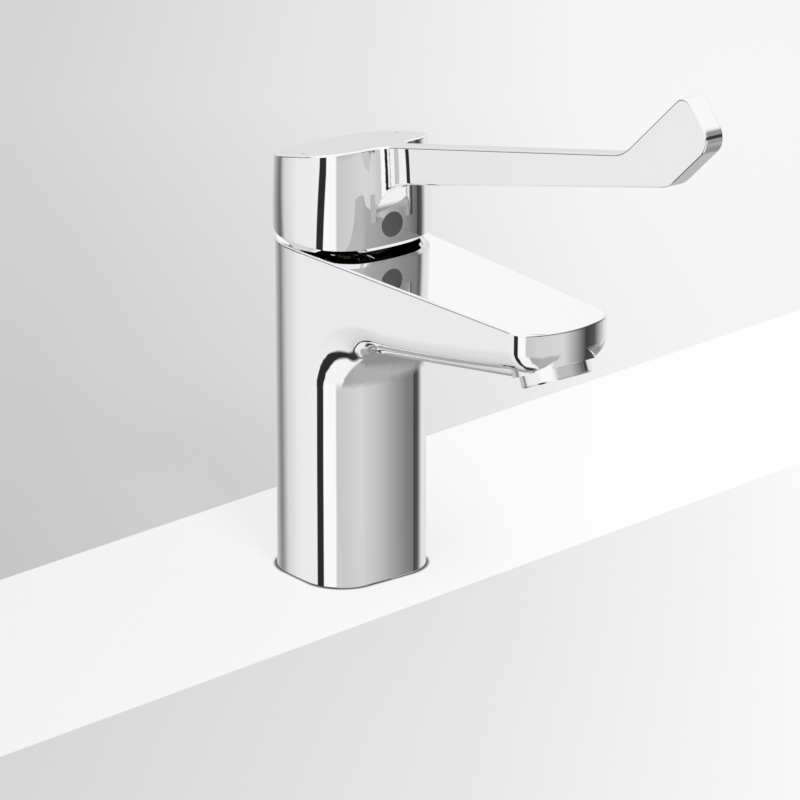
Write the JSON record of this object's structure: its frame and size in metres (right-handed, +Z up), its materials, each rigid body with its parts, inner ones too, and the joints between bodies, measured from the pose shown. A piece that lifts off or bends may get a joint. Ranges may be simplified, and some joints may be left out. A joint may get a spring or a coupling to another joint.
{
  "type": "basin mixer tap",
  "caption": "Single-lever basin mixer tap with a long cranked lever arm, fixed spout and under-deck clamp.",
  "frame": {"origin": "centre of the column where it stands on the deck", "axes": "+Z up; -Y towards the user, the way the spout and lever point; +X to the right seen from the user"},
  "size_m": [0.052, 0.2185, 0.2713],
  "materials": {
    "polished_chrome": "mirror polished",
    "dark_bonnet_plastic": "matt",
    "black_rubber": "matt",
    "cast_brass": "turned",
    "zinc_steel": "zinc plated",
    "housing_plastic": "satin",
    "ceramic": "lapped",
    "limiter_plastic": "satin",
    "aerator_plastic": "satin",
    "cover_plastic": "satin",
    "mark_enamel": "gloss",
    "stainless_steel": "brushed"
  },
  "bodies": {
    "fixed_body": {"body_casting": "polished_chrome", "base_seal": "black_rubber", "fixing_stud": "zinc_steel", "clamp_gasket": "black_rubber", "clamp_plate": "zinc_steel", "fixing_nut": "cast_brass", "inlet_seals": "black_rubber", "cartridge_base": "housing_plastic", "fixed_disc": "ceramic", "cartridge_housing": "housing_plastic", "housing_seal": "black_rubber", "cartridge_nut": "cast_brass", "temperature_limiter": "limiter_plastic", "bonnet": "dark_bonnet_plastic", "aerator_collar": "polished_chrome", "aerator_insert": "aerator_plastic", "aerator_screen": "stainless_steel", "aerator_washer": "black_rubber"},
    "swivel": {"swivel_guide": "housing_plastic", "pivot_pin": "stainless_steel"},
    "disc_pair": {"moving_disc": "ceramic", "disc_carrier": "housing_plastic"},
    "lever": {"spindle": "cast_brass", "spindle_sleeve": "housing_plastic", "grub_screw": "stainless_steel", "screw_cover": "cover_plastic", "lever_handle": "polished_chrome", "hot_mark": "mark_enamel", "cold_mark": "mark_enamel"}
  },
  "joints": [
    {"name": "swivel", "type": "hinge", "parent": "fixed_body", "child": "swivel", "pos_m": [0, 0, 0.121], "axis": [0, 0, 1], "range_deg": [-45, 45]},
    {"name": "lever_tilt", "type": "hinge", "parent": "swivel", "child": "lever", "pos_m": [0, 0, 0.121], "axis": [-1, 0, 0], "range_deg": [0, 16]},
    {"name": "disc_slide", "type": "slide", "parent": "swivel", "child": "disc_pair", "axis": [0, -1, 0], "range_m": [0, 0.0053]}
  ],
  "couplings": [
    {"joint": "disc_slide", "follows": "lever_tilt", "m_per_rad": 0.018938}
  ]
}
